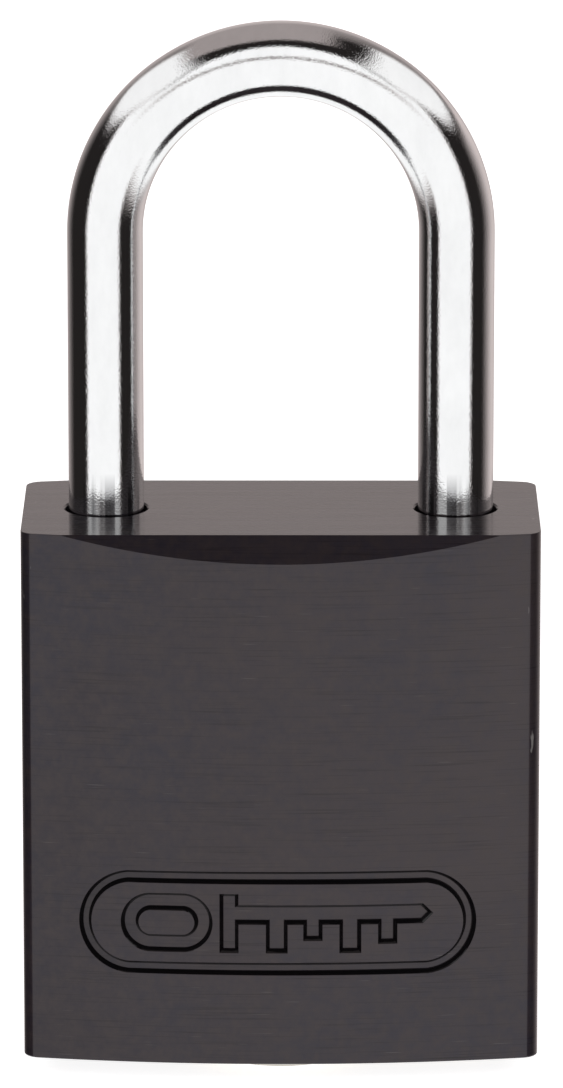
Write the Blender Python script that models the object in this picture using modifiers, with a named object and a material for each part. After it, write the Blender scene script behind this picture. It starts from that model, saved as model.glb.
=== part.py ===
"""A key-operated block padlock with ball locking. Every piece is its own solid.

Metres, +Z up. The origin is the centre of the plug's nose, on which the padlock stands. -Y is the front.
The shackle is closed. The plug stands at its open position, a quarter turn from home.
"""

from math import atan2, cos, pi, radians, sin, sqrt

import bmesh
import bpy
from mathutils import Vector

MM = 0.001

# Body: an aluminium block with bowed front and back
BODY_WIDTH = 40.0 * MM
BODY_DEPTH = 20.3 * MM
BODY_HEIGHT = 42.1 * MM
BOW_RADIUS = 84.6 * MM
CORNER_RADIUS = 1.5 * MM
TOP_FLAT_HALF_DEPTH = 8.84 * MM
TOP_CHAMFER_DROP = 2.0 * MM
NOSE_STAND = 1.5 * MM
BODY_TOP = NOSE_STAND + BODY_HEIGHT

# Shackle: a round bar bent over a half circle
BAR_RADIUS = 2.925 * MM
LEG_X = 13.55 * MM
CROWN_TOP = 81.95 * MM
ARCH_Z = CROWN_TOP - BAR_RADIUS - LEG_X
LEG_BORE_RADIUS = 3.2 * MM
TOE_END = BODY_TOP - 9.0 * MM
HEEL_END = BODY_TOP - 20.3 * MM
TOE_BORE_END = 30.4 * MM
HEEL_BORE_END = 14.5 * MM
LEG_END_BEVEL = 0.5 * MM
NECK_RADIUS = 2.1 * MM
NECK_BOTTOM = HEEL_END + 3.0 * MM
NECK_TOP = 36.9 * MM

# Locking balls and the cam that spreads them
BALL_RADIUS = 2.8 * MM
BALL_Z = 38.3 * MM
BALL_LOCKED_X = 9.3 * MM
TOE_BALL_TRAVEL = 1.7 * MM
HEEL_BALL_TRAVEL = 0.875 * MM
BALL_NOTCH_RADIUS = 3.0 * MM
BALL_CHANNEL_RADIUS = 2.95 * MM
CAM_CLEARANCE = 0.12 * MM
CAM_LOBE = BALL_LOCKED_X - BALL_RADIUS - CAM_CLEARANCE
CAM_BOTTOM = 34.6 * MM
CAM_TOP = 41.2 * MM
CAM_HUB_RADIUS = 4.4 * MM
CAM_HUB_BOTTOM = 27.1 * MM
CAM_CHAMBER_RADIUS = 6.6 * MM
CAM_CHAMBER_TOP = 41.5 * MM

# Lock cylinder: shell, plug and its clip
OPEN_TURN = radians(90)
PLUG_RADIUS = 6.25 * MM
PLUG_BORE_RADIUS = 6.35 * MM
NOSE_RADIUS = 6.3 * MM
NOSE_BEVEL = 0.45 * MM
FLANGE_RADIUS = 6.9 * MM
COUNTERBORE_RADIUS = 7.0 * MM
FLANGE_TOP = 2.7 * MM
COUNTERBORE_TOP = 2.85 * MM
BARREL_RADIUS = 7.8 * MM
BARREL_TOP = 25.0 * MM
BIBLE_HALF_WIDTH = 3.0 * MM
BIBLE_END = 16.2 * MM
BIBLE_TOP = 28.0 * MM
BIBLE_HEAD_START = 8.2 * MM
PLUG_END = 26.8 * MM
CLIP_BOTTOM = 25.25 * MM
CLIP_THICKNESS = 0.8 * MM
CLIP_INNER_RADIUS = 5.6 * MM
CLIP_OUTER_RADIUS = 7.0 * MM
CLIP_GROOVE_RADIUS = 5.45 * MM
CLIP_GROOVE_SLACK = 0.1 * MM
CLIP_GAP = radians(56)
TAB_LENGTH = 6.4 * MM
TAB_WIDTH = 2.6 * MM
TAB_TOP = 31.2 * MM
TAB_SLACK = 0.15 * MM
POCKET_GAP = 0.1 * MM
CLIP_CHAMBER_RADIUS = 7.2 * MM
CLIP_CHAMBER_TOP = 27.4 * MM

# Pin stacks, six of them along the plug
PIN_COUNT = 6
FIRST_PIN_Z = 6.0 * MM
PIN_PITCH = 3.3 * MM
PIN_RADIUS = 1.3 * MM
CHAMBER_RADIUS = 1.38 * MM
KEY_PIN_LENGTHS = [length * MM for length in (3.4, 4.2, 3.0, 3.8, 4.4, 3.2)]
KEY_PIN_OUTER_END = 6.18 * MM
KEY_CHAMBER_END = 0.6 * MM
DRIVER_INNER_END = 6.4 * MM
DRIVER_LENGTH = 4.0 * MM
PIN_EDGE = 0.25 * MM
PIN_TIP_FLAT = 0.35 * MM
PIN_SPRING_RADIUS = 0.95 * MM
PIN_SPRING_WIRE = 0.13 * MM
PIN_SPRING_TURNS = 4
COVER_INNER = 15.3 * MM
COVER_OUTER = 16.1 * MM
COVER_HALF_WIDTH = 2.0 * MM
COVER_BOTTOM = 3.4 * MM
COVER_TOP = 24.4 * MM

# Cylinder screw, reached down the toe bore
SCREW_RADIUS = 1.45 * MM
SCREW_HEAD_RADIUS = 2.7 * MM
SCREW_HEAD_HEIGHT = 1.9 * MM
SCREW_END = 25.0 * MM
SCREW_SOCKET_RADIUS = 1.3 * MM
SCREW_SOCKET_DEPTH = 1.2 * MM
SCREW_HOLE_RADIUS = 1.6 * MM

# Shackle spring
SPRING_COIL_RADIUS = 2.2 * MM
SPRING_WIRE = 0.32 * MM
SPRING_TURNS = 6.5
FIT_GAP = 0.05 * MM

OVERSHOOT = 4.0 * MM
MERGE = 1e-6
ROUND_STEPS = 40
BORE_STEPS = 32
PIN_STEPS = 12


def start_scene():
    """An empty scene with one collection for the padlock and one for its cutters."""
    for leftover in list(bpy.data.objects):
        bpy.data.objects.remove(leftover, do_unlink=True)
    made = []
    for name in ("padlock", "cutters"):
        group = bpy.data.collections.new(name)
        bpy.context.scene.collection.children.link(group)
        made.append(group)
    return made


PADLOCK, CUTTERS = start_scene()


def metal(name, colour, roughness, metallic=1.0):
    """A Principled material of one colour."""
    made = bpy.data.materials.new(name)
    made.use_nodes = True
    shader = made.node_tree.nodes["Principled BSDF"]
    shader.inputs["Base Color"].default_value = (*colour, 1.0)
    shader.inputs["Roughness"].default_value = roughness
    shader.inputs["Metallic"].default_value = metallic
    return made


ANODISED = metal("anodised_aluminium", (0.055, 0.047, 0.045), 0.35, 0.75)
CHROME = metal("chrome_plate", (0.82, 0.82, 0.84), 0.08)
NICKEL = metal("nickel_plate", (0.66, 0.62, 0.55), 0.22)
BRASS = metal("brass", (0.72, 0.54, 0.25), 0.3)
HARD_STEEL = metal("hardened_steel", (0.55, 0.55, 0.57), 0.18)
SPRING_STEEL = metal("spring_steel", (0.45, 0.45, 0.47), 0.3)
ZINC_STEEL = metal("zinc_plated_steel", (0.6, 0.6, 0.58), 0.35)


def place(name, mesh, finish=None):
    """Links a mesh as a piece of the padlock, or as a hidden cutter when it has no finish."""
    piece = bpy.data.objects.new(name, mesh)
    if finish is None:
        CUTTERS.objects.link(piece)
        piece.hide_render = True
        piece.display_type = "WIRE"
    else:
        PADLOCK.objects.link(piece)
        piece.data.materials.append(finish)
    return piece


def from_bmesh(name, shape, finish=None):
    """Writes a bmesh into a new piece or cutter."""
    mesh = bpy.data.meshes.new(name)
    shape.to_mesh(mesh)
    shape.free()
    return place(name, mesh, finish)


def box(name, low, high, finish=None):
    """A box between two corners."""
    shape = bmesh.new()
    bmesh.ops.create_cube(shape, size=1.0)
    low, high = Vector(low), Vector(high)
    bmesh.ops.scale(shape, vec=high - low, verts=shape.verts)
    bmesh.ops.translate(shape, vec=(low + high) / 2, verts=shape.verts)
    return from_bmesh(name, shape, finish)


def cylinder(name, radius, bottom, top, x=0.0, finish=None, steps=BORE_STEPS):
    """An upright cylinder on (x, 0)."""
    shape = bmesh.new()
    bmesh.ops.create_cone(
        shape, cap_ends=True, segments=steps, radius1=radius, radius2=radius, depth=top - bottom
    )
    bmesh.ops.translate(shape, vec=(x, 0, (top + bottom) / 2), verts=shape.verts)
    return from_bmesh(name, shape, finish)


def rod_along_x(name, radius, start, end, z, finish=None, steps=PIN_STEPS):
    """A level cylinder along X at height z."""
    rod = cylinder(name, radius, start, end, finish=finish, steps=steps)
    rod.rotation_euler = (0, pi / 2, 0)
    rod.location = (0, 0, z)
    return rod


def turned(name, profile, finish=None, steps=ROUND_STEPS, closed=False):
    """Spins a profile of (radius, height) points, which runs down its outer side, about Z."""
    mesh = bpy.data.meshes.new(name)
    edges = [(i, i + 1) for i in range(len(profile) - 1)]
    if closed:
        edges.append((len(profile) - 1, 0))
    mesh.from_pydata([(r, 0, z) for r, z in profile], edges, [])
    piece = place(name, mesh, finish)
    screw = piece.modifiers.new("turn", "SCREW")
    screw.steps = screw.render_steps = steps
    screw.use_merge_vertices = True
    screw.merge_threshold = MERGE
    return piece


def mesh_of(piece, finish=None):
    """Replaces a curve object by the closed mesh that it draws."""
    bpy.context.view_layer.update()
    drawn = piece.evaluated_get(bpy.context.evaluated_depsgraph_get())
    mesh = bpy.data.meshes.new_from_object(drawn)
    name, matrix, parent = piece.name, piece.matrix_world.copy(), piece.parent
    shape = bmesh.new()
    shape.from_mesh(mesh)
    bmesh.ops.remove_doubles(shape, verts=shape.verts, dist=MERGE)
    shape.to_mesh(mesh)
    shape.free()
    mesh.materials.clear()
    bpy.data.objects.remove(piece, do_unlink=True)
    made = place(name, mesh, finish)
    made.parent = parent
    made.matrix_world = matrix
    return made


def slab(name, outline, bottom, top, finish=None):
    """A flat outline of (x, y) points, made solid between two heights."""
    curve = bpy.data.curves.new(name, "CURVE")
    curve.dimensions = "2D"
    curve.fill_mode = "BOTH"
    curve.extrude = (top - bottom) / 2
    line = curve.splines.new("POLY")
    line.points.add(len(outline) - 1)
    for point, (x, y) in zip(line.points, outline):
        point.co = (x, y, 0, 1)
    line.use_cyclic_u = True
    flat = bpy.data.objects.new(name, curve)
    PADLOCK.objects.link(flat)
    flat.location.z = (top + bottom) / 2
    return mesh_of(flat, finish)


def tube(name, points, radius, roundness, finish):
    """A round bar or wire along a list of points."""
    curve = bpy.data.curves.new(name, "CURVE")
    curve.dimensions = "3D"
    curve.bevel_depth = radius
    curve.bevel_resolution = roundness
    curve.use_fill_caps = True
    line = curve.splines.new("POLY")
    line.points.add(len(points) - 1)
    for point, place_at in zip(line.points, points):
        point.co = (*place_at, 1)
    wire = bpy.data.objects.new(name, curve)
    PADLOCK.objects.link(wire)
    wire.data.materials.append(finish)
    return wire


def cut(piece, *cutters):
    """Takes each cutter's shape out of a piece."""
    for cutter in cutters:
        step = piece.modifiers.new(cutter.name, "BOOLEAN")
        step.operation = "DIFFERENCE"
        step.object = cutter


def join(piece, *others):
    """Adds each overlapping shape to a piece."""
    for other in others:
        step = piece.modifiers.new(other.name, "BOOLEAN")
        step.operation = "UNION"
        step.object = other


def arc(centre_x, centre_y, radius, start, end, steps):
    """Points along an arc, both ends included."""
    angles = [start + (end - start) * i / steps for i in range(steps + 1)]
    return [(centre_x + radius * cos(a), centre_y + radius * sin(a)) for a in angles]


def smooth(piece):
    """Shades a mesh piece smooth across its shallow edges."""
    piece.data.shade_smooth()
    piece.data.set_sharp_from_angle(angle=radians(35))


def turning_axis():
    """The empty that everything on the plug hangs from, turned from home to open."""
    axis = bpy.data.objects.new("plug_axis", None)
    PADLOCK.objects.link(axis)
    axis.rotation_euler.z = OPEN_TURN
    bpy.context.view_layer.update()
    return axis


def hang(axis, *pieces):
    """Parents pieces, modelled with the plug at home, to the turned plug axis."""
    for piece in pieces:
        piece.parent = axis


def bowed_outline():
    """The body seen from above: two bowed faces, flat sides and four rounded corners."""
    bow_y = BODY_DEPTH / 2 - BOW_RADIUS
    corner_x = BODY_WIDTH / 2 - CORNER_RADIUS
    corner_y = bow_y + sqrt((BOW_RADIUS - CORNER_RADIUS) ** 2 - corner_x**2)
    meet = atan2(corner_y - bow_y, corner_x)
    back = arc(0, bow_y, BOW_RADIUS, meet, pi - meet, 24)
    right_corner = arc(corner_x, corner_y, CORNER_RADIUS, 0, meet, 6)
    left_corner = arc(-corner_x, corner_y, CORNER_RADIUS, pi - meet, pi, 6)
    half = right_corner + back[1:-1] + left_corner
    return half + [(-x, -y) for x, y in half]


def top_chamfer(side):
    """A wedge that takes the top edge off the front (side -1) or the back (side 1)."""
    run = BODY_DEPTH / 2 - TOP_FLAT_HALF_DEPTH
    slope = atan2(TOP_CHAMFER_DROP, run)
    thickness = 3 * TOP_CHAMFER_DROP
    wedge = box(
        "front_chamfer" if side < 0 else "back_chamfer",
        (-BODY_WIDTH, -thickness, 0),
        (BODY_WIDTH, thickness, thickness),
    )
    wedge.rotation_euler.x = -side * slope
    wedge.location = (0, side * TOP_FLAT_HALF_DEPTH, BODY_TOP)
    return wedge


def padlock_body():
    """The block, bored for the legs, the balls, the cam and the lock cylinder."""
    body = slab("padlock_body", bowed_outline(), NOSE_STAND, BODY_TOP, ANODISED)
    below = -OVERSHOOT
    above = BODY_TOP + OVERSHOOT
    barrel = BARREL_RADIUS + POCKET_GAP
    cut(
        body,
        top_chamfer(-1),
        top_chamfer(1),
        cylinder("barrel_pocket", barrel, below, BARREL_TOP + POCKET_GAP, steps=ROUND_STEPS),
        box(
            "bible_pocket",
            (0, -BIBLE_HALF_WIDTH - POCKET_GAP, below),
            (BIBLE_END + POCKET_GAP, BIBLE_HALF_WIDTH + POCKET_GAP, BIBLE_TOP + POCKET_GAP),
        ),
        cylinder("clip_chamber", CLIP_CHAMBER_RADIUS, FIRST_PIN_Z, CLIP_CHAMBER_TOP, steps=ROUND_STEPS),
        cylinder("cam_chamber", CAM_CHAMBER_RADIUS, FIRST_PIN_Z, CAM_CHAMBER_TOP, steps=ROUND_STEPS),
        rod_along_x("ball_channel", BALL_CHANNEL_RADIUS, -LEG_X, LEG_X, BALL_Z, steps=BORE_STEPS),
        cylinder("toe_bore", LEG_BORE_RADIUS, TOE_BORE_END, above, LEG_X),
        cylinder("heel_bore", LEG_BORE_RADIUS, HEEL_BORE_END, above, -LEG_X),
        cylinder("screw_hole", SCREW_HOLE_RADIUS, BIBLE_TOP - OVERSHOOT, TOE_BORE_END + MM, LEG_X),
    )
    return body


def ball_notch(name, x):
    """A round seat in a leg for a locked ball."""
    shape = bmesh.new()
    bmesh.ops.create_uvsphere(shape, u_segments=24, v_segments=16, radius=BALL_NOTCH_RADIUS)
    seat = from_bmesh(name, shape)
    seat.location = (x, 0, BALL_Z)
    return seat


def heel_neck():
    """The ring taken off the heel leg, so that its foot stops under the ball when it is raised."""
    outside = LEG_BORE_RADIUS + MM
    ramp = outside - NECK_RADIUS
    half_ramp = ramp / 2
    neck = turned(
        "heel_neck",
        [
            (outside, NECK_TOP + half_ramp),
            (outside, NECK_BOTTOM - half_ramp),
            (NECK_RADIUS, NECK_BOTTOM),
            (NECK_RADIUS, NECK_TOP),
        ],
        steps=BORE_STEPS,
        closed=True,
    )
    neck.location.x = -LEG_X
    return neck


def shackle():
    """The bent bar: toe leg on the right, long heel leg on the left."""
    arch = [(x, 0, z) for x, z in arc(0, ARCH_Z, LEG_X, 0, pi, 24)]
    path = [(LEG_X, 0, TOE_END), *arch, (-LEG_X, 0, HEEL_END)]
    bar = mesh_of(tube("shackle", path, BAR_RADIUS, 8, CHROME), CHROME)
    ends = bar.modifiers.new("leg_ends", "BEVEL")
    ends.width = LEG_END_BEVEL
    ends.segments = 2
    ends.limit_method = "ANGLE"
    ends.angle_limit = radians(60)
    cut(bar, ball_notch("toe_notch", BALL_LOCKED_X), ball_notch("heel_notch", -BALL_LOCKED_X), heel_neck())
    smooth(bar)
    return bar


def ball(name, x):
    """One hardened locking ball, with its origin at its centre."""
    shape = bmesh.new()
    bmesh.ops.create_uvsphere(shape, u_segments=16, v_segments=10, radius=BALL_RADIUS)
    made = from_bmesh(name, shape, HARD_STEEL)
    made.location = (x, 0, BALL_Z)
    smooth(made)
    return made


def cam_radius(angle):
    """The cam's edge at home: recesses face the front (toe) and back (heel), lobes face the legs."""
    travel = TOE_BALL_TRAVEL if sin(angle) < 0 else HEEL_BALL_TRAVEL
    off_lobe = abs(atan2(sin(angle), abs(cos(angle)))) / (pi / 2)
    return CAM_LOBE - travel * off_lobe


def locking_cam():
    """The cam between the balls, with a slotted hub that the plug's tab drives."""
    steps = 72
    angles = [2 * pi * i / steps for i in range(steps)]
    edge = [(cam_radius(a) * cos(a), cam_radius(a) * sin(a)) for a in angles]
    cam = slab("locking_cam", edge, CAM_BOTTOM, CAM_TOP, ZINC_STEEL)
    hub = cylinder("cam_hub", CAM_HUB_RADIUS, CAM_HUB_BOTTOM, CAM_BOTTOM + MM)
    slot_x, slot_y = TAB_LENGTH / 2 + TAB_SLACK, TAB_WIDTH / 2 + TAB_SLACK
    slot = box("cam_slot", (-slot_x, -slot_y, CAM_HUB_BOTTOM - MM), (slot_x, slot_y, TAB_TOP + TAB_SLACK))
    join(cam, hub)
    cut(cam, slot)
    return [cam, hub, slot]


def keyway_outline():
    """The key slot at home, seen from above: open towards the pins' far side, with two wards."""
    deep, shallow = -5.1 * MM, 3.3 * MM
    half, ward = 1.15 * MM, 0.45 * MM
    low_ward, high_ward = -3.0 * MM, -1.4 * MM
    mid_ward, top_ward = 0.2 * MM, 1.7 * MM
    return [
        (deep, -half),
        (mid_ward, -half),
        (mid_ward, -ward),
        (top_ward, -ward),
        (top_ward, -half),
        (shallow, -half),
        (shallow, half),
        (high_ward, half),
        (high_ward, ward),
        (low_ward, ward),
        (low_ward, half),
        (deep, half),
    ]


def pin_heights():
    """The height of each pin stack, front to back of the lock."""
    return [FIRST_PIN_Z + PIN_PITCH * i for i in range(PIN_COUNT)]


def plug():
    """The turning core, with its nose, flange, key slot, pin chambers and rear tab."""
    groove_low = CLIP_BOTTOM - CLIP_GROOVE_SLACK
    groove_high = CLIP_BOTTOM + CLIP_THICKNESS + CLIP_GROOVE_SLACK
    core = turned(
        "plug",
        [
            (0, PLUG_END),
            (PLUG_RADIUS - NOSE_BEVEL, PLUG_END),
            (PLUG_RADIUS - NOSE_BEVEL, groove_high),
            (CLIP_GROOVE_RADIUS, groove_high),
            (CLIP_GROOVE_RADIUS, groove_low),
            (PLUG_RADIUS, groove_low),
            (PLUG_RADIUS, FLANGE_TOP),
            (FLANGE_RADIUS, FLANGE_TOP),
            (FLANGE_RADIUS, NOSE_STAND + FIT_GAP),
            (NOSE_RADIUS, NOSE_STAND + FIT_GAP),
            (NOSE_RADIUS, NOSE_BEVEL),
            (NOSE_RADIUS - NOSE_BEVEL, 0),
            (0, 0),
        ],
        NICKEL,
    )
    tab = box(
        "plug_tab",
        (-TAB_LENGTH / 2, -TAB_WIDTH / 2, PLUG_END - MM),
        (TAB_LENGTH / 2, TAB_WIDTH / 2, TAB_TOP),
    )
    keyway = slab("keyway", keyway_outline(), -OVERSHOOT, groove_low - MM)
    chambers = [
        rod_along_x(f"plug_chamber_{i}", CHAMBER_RADIUS, KEY_CHAMBER_END, PLUG_RADIUS + MM, z)
        for i, z in enumerate(pin_heights(), 1)
    ]
    join(core, tab)
    cut(core, keyway, *chambers)
    return [core, tab, keyway, *chambers]


def plug_clip():
    """The open spring clip in the plug's rear groove."""
    start, end = CLIP_GAP / 2, 2 * pi - CLIP_GAP / 2
    outside = arc(0, 0, CLIP_OUTER_RADIUS, start, end, 30)
    inside = arc(0, 0, CLIP_INNER_RADIUS, end, start, 30)
    return slab("plug_clip", outside + inside, CLIP_BOTTOM, CLIP_BOTTOM + CLIP_THICKNESS, SPRING_STEEL)


def shell_outline():
    """The lock cylinder from above: a round barrel and the narrow bible that holds the springs."""
    meet = atan2(BIBLE_HALF_WIDTH, sqrt(BARREL_RADIUS**2 - BIBLE_HALF_WIDTH**2))
    barrel = arc(0, 0, BARREL_RADIUS, meet, 2 * pi - meet, 40)
    return [*barrel, (BIBLE_END, -BIBLE_HALF_WIDTH), (BIBLE_END, BIBLE_HALF_WIDTH)]


def cylinder_shell():
    """The fixed brass shell that the plug turns in."""
    shell = slab("cylinder_shell", shell_outline(), NOSE_STAND, BARREL_TOP, BRASS)
    head = box(
        "bible_head",
        (BIBLE_HEAD_START, -BIBLE_HALF_WIDTH, COVER_TOP),
        (BIBLE_END, BIBLE_HALF_WIDTH, BIBLE_TOP),
    )
    thread = SCREW_RADIUS + FIT_GAP
    join(shell, head)
    cut(
        shell,
        cylinder("plug_bore", PLUG_BORE_RADIUS, -OVERSHOOT, BARREL_TOP + OVERSHOOT, steps=ROUND_STEPS),
        cylinder("flange_seat", COUNTERBORE_RADIUS, -OVERSHOOT, COUNTERBORE_TOP, steps=ROUND_STEPS),
        box(
            "cover_seat",
            (COVER_INNER - POCKET_GAP, -COVER_HALF_WIDTH - POCKET_GAP, COVER_BOTTOM - POCKET_GAP),
            (BIBLE_END + MM, COVER_HALF_WIDTH + POCKET_GAP, COVER_TOP + POCKET_GAP),
        ),
        cylinder("screw_thread_hole", thread, SCREW_END - POCKET_GAP, BIBLE_TOP + MM, LEG_X),
        *(
            rod_along_x(f"shell_chamber_{i}", CHAMBER_RADIUS, PLUG_RADIUS - MM, COVER_OUTER, z)
            for i, z in enumerate(pin_heights(), 1)
        ),
    )
    return shell


def chamber_cover():
    """The strip that closes the six spring chambers."""
    return box(
        "chamber_cover",
        (COVER_INNER, -COVER_HALF_WIDTH, COVER_BOTTOM),
        (COVER_OUTER, COVER_HALF_WIDTH, COVER_TOP),
        BRASS,
    )


def key_pin(number, length, z):
    """A pointed pin, flush with the plug's edge. It slides along the plug's chamber."""
    outer = KEY_PIN_OUTER_END
    tip = outer - length
    pin = turned(
        f"key_pin_{number}",
        [
            (0, outer),
            (PIN_RADIUS - PIN_EDGE, outer),
            (PIN_RADIUS, outer - PIN_EDGE),
            (PIN_RADIUS, tip + PIN_RADIUS - PIN_TIP_FLAT),
            (PIN_TIP_FLAT, tip),
            (0, tip),
        ],
        BRASS,
        PIN_STEPS,
    )
    pin.rotation_euler = (0, pi / 2, 0)
    pin.location = (0, 0, z)
    return pin


def driver_pin(number, z):
    """A plain pin in the shell, resting on the plug. Its spring pushes it inwards."""
    inner, outer = DRIVER_INNER_END, DRIVER_INNER_END + DRIVER_LENGTH
    pin = turned(
        f"driver_pin_{number}",
        [
            (0, outer),
            (PIN_RADIUS - PIN_EDGE, outer),
            (PIN_RADIUS, outer - PIN_EDGE),
            (PIN_RADIUS, inner + PIN_EDGE),
            (PIN_RADIUS - PIN_EDGE, inner),
            (0, inner),
        ],
        HARD_STEEL,
        PIN_STEPS,
    )
    pin.rotation_euler = (0, pi / 2, 0)
    pin.location = (0, 0, z)
    return pin


def coil(name, coil_radius, wire, bottom, top, turns, per_turn, roundness):
    """A compression spring between two heights, its wire just inside both ends."""
    count = int(turns * per_turn)
    low, high = bottom + wire, top - wire
    points = []
    for i in range(count + 1):
        angle = 2 * pi * i / per_turn
        height = low + (high - low) * i / count
        points.append((coil_radius * cos(angle), coil_radius * sin(angle), height))
    return tube(name, points, wire, roundness, SPRING_STEEL)


def pin_spring(number, z):
    """The spring between a driver pin and the chamber cover."""
    start = DRIVER_INNER_END + DRIVER_LENGTH + FIT_GAP
    end = COVER_INNER - FIT_GAP
    spring = coil(
        f"pin_spring_{number}", PIN_SPRING_RADIUS, PIN_SPRING_WIRE, start, end, PIN_SPRING_TURNS, 8, 1
    )
    spring.rotation_euler = (0, pi / 2, 0)
    spring.location = (0, 0, z)
    return spring


def shackle_spring():
    """The spring under the heel leg that lifts the shackle once the balls let go."""
    spring = coil(
        "shackle_spring",
        SPRING_COIL_RADIUS,
        SPRING_WIRE,
        HEEL_BORE_END + FIT_GAP,
        HEEL_END - FIT_GAP,
        SPRING_TURNS,
        10,
        1,
    )
    spring.location.x = -LEG_X
    return spring


def cylinder_screw():
    """The screw at the foot of the toe bore that holds the lock cylinder in the body."""
    foot = TOE_BORE_END + FIT_GAP
    head = foot + SCREW_HEAD_HEIGHT
    screw = turned(
        "cylinder_screw",
        [
            (0, head),
            (SCREW_HEAD_RADIUS - PIN_EDGE, head),
            (SCREW_HEAD_RADIUS, head - PIN_EDGE),
            (SCREW_HEAD_RADIUS, foot),
            (SCREW_RADIUS, foot),
            (SCREW_RADIUS, SCREW_END + PIN_EDGE),
            (SCREW_RADIUS - PIN_EDGE, SCREW_END),
            (0, SCREW_END),
        ],
        ZINC_STEEL,
        24,
    )
    screw.location.x = LEG_X
    socket = cylinder(
        "screw_socket", SCREW_SOCKET_RADIUS, head - SCREW_SOCKET_DEPTH, head + MM, LEG_X, steps=6
    )
    cut(screw, socket)
    return screw


def main():
    padlock_body()
    shackle()
    shackle_spring()
    ball("toe_ball", BALL_LOCKED_X - TOE_BALL_TRAVEL)
    ball("heel_ball", HEEL_BALL_TRAVEL - BALL_LOCKED_X)
    cylinder_shell()
    chamber_cover()
    cylinder_screw()
    axis = turning_axis()
    hang(axis, *plug(), *locking_cam(), plug_clip())
    for number, (z, length) in enumerate(zip(pin_heights(), KEY_PIN_LENGTHS), 1):
        hang(axis, key_pin(number, length, z))
        driver_pin(number, z)
        pin_spring(number, z)


main()
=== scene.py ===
from math import asin, cos, pi, radians, sin, sqrt

import bmesh
import bpy
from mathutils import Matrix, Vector


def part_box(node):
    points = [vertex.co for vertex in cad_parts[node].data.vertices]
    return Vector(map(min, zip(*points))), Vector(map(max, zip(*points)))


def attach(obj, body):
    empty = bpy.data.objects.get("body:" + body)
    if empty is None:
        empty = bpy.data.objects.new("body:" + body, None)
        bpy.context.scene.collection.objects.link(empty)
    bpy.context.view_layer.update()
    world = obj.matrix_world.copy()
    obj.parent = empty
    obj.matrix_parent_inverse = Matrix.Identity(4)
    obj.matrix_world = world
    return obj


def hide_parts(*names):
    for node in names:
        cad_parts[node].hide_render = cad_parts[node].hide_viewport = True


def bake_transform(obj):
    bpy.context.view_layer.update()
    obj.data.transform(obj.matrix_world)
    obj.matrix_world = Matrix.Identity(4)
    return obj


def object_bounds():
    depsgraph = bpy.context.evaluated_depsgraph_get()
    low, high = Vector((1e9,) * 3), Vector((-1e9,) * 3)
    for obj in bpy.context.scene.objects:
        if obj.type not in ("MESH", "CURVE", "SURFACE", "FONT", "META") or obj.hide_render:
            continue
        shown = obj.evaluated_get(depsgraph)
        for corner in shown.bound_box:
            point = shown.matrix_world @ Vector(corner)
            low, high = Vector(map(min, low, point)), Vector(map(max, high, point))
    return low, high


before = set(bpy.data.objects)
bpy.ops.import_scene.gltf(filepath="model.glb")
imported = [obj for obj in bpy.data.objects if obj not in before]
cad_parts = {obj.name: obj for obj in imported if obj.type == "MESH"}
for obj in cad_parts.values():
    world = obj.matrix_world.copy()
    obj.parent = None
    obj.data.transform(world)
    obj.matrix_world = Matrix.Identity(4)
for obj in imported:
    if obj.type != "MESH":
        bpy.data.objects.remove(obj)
cad_low, cad_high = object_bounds()
MM = 0.001


# ---------------------------------------------------------------- dimensions

BODY_LOW, BODY_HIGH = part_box("padlock_body")
BAR_LOW, BAR_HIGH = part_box("shackle")
PLUG_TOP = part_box("plug")[1].z
SHELL_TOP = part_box("cylinder_shell")[1].z

HALF_WIDTH = BODY_HIGH.x
HALF_DEPTH = BODY_HIGH.y
BODY_FOOT = BODY_LOW.z
BODY_TOP = BODY_HIGH.z
BOW_RADIUS = 108 * MM
BOW_CENTRE = BOW_RADIUS - HALF_DEPTH
CORNER_RADIUS = 1.3 * MM
FOOT_EDGE = 0.15 * MM
TOP_EDGE = 0.07 * MM
TOP_FLAT_HALF_DEPTH = 8.8 * MM
TOP_CHAMFER_DROP = 2.0 * MM

BAR_RADIUS = (BAR_HIGH.y - BAR_LOW.y) / 2
LEG_X = BAR_HIGH.x - BAR_RADIUS
CROWN_TOP = BAR_HIGH.z
ARCH_Z = CROWN_TOP - BAR_RADIUS - LEG_X
TOE_END = BODY_TOP - 9.0 * MM
HEEL_END = BAR_LOW.z
LEG_BORE_RADIUS = 3.2 * MM
BORE_LIP = 0.12 * MM
LEG_END_BEVEL = 0.5 * MM
NECK_RADIUS = 2.1 * MM
NECK_BOTTOM = HEEL_END + 3.0 * MM
NECK_TOP = 36.9 * MM

BALL_LEVEL = 38.3 * MM
BALL_LOCKED_X = 9.3 * MM
BALL_NOTCH_RADIUS = 3.0 * MM
BALL_CHANNEL_RADIUS = 2.95 * MM

RING_CENTRE = Vector((-0.255 * MM, -HALF_DEPTH, BODY_FOOT + 11.415 * MM))
RING_HALF_LENGTH = 15.46 * MM
RING_HALF_HEIGHT = 4.19 * MM
RING_WIDTH = 1.03 * MM
RELIEF_DEPTH = 0.45 * MM
RELIEF_LIP = 0.03 * MM
RELIEF_DRAFT = 0.28 * MM
TOOL_STANDOFF = 0.3 * MM

KEY_HALF_HEIGHT = 2.4 * MM
KEY_BOW_X = -8.6 * MM
KEY_BOW_LENGTH = 7.2 * MM
KEY_BOW_RIM = 1.45 * MM
KEY_COLLAR = (-4.5 * MM, -3.0 * MM)
KEY_SHAFT = (-0.1 * MM, 1.5 * MM)
KEY_END = 12.1 * MM
KEY_BITS = (
    (-0.9 * MM, 1.7 * MM, 2.3 * MM),
    (2.0 * MM, 1.5 * MM, 1.3 * MM),
    (4.8 * MM, 1.7 * MM, 2.3 * MM),
    (7.8 * MM, 1.5 * MM, 1.6 * MM),
)

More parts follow.
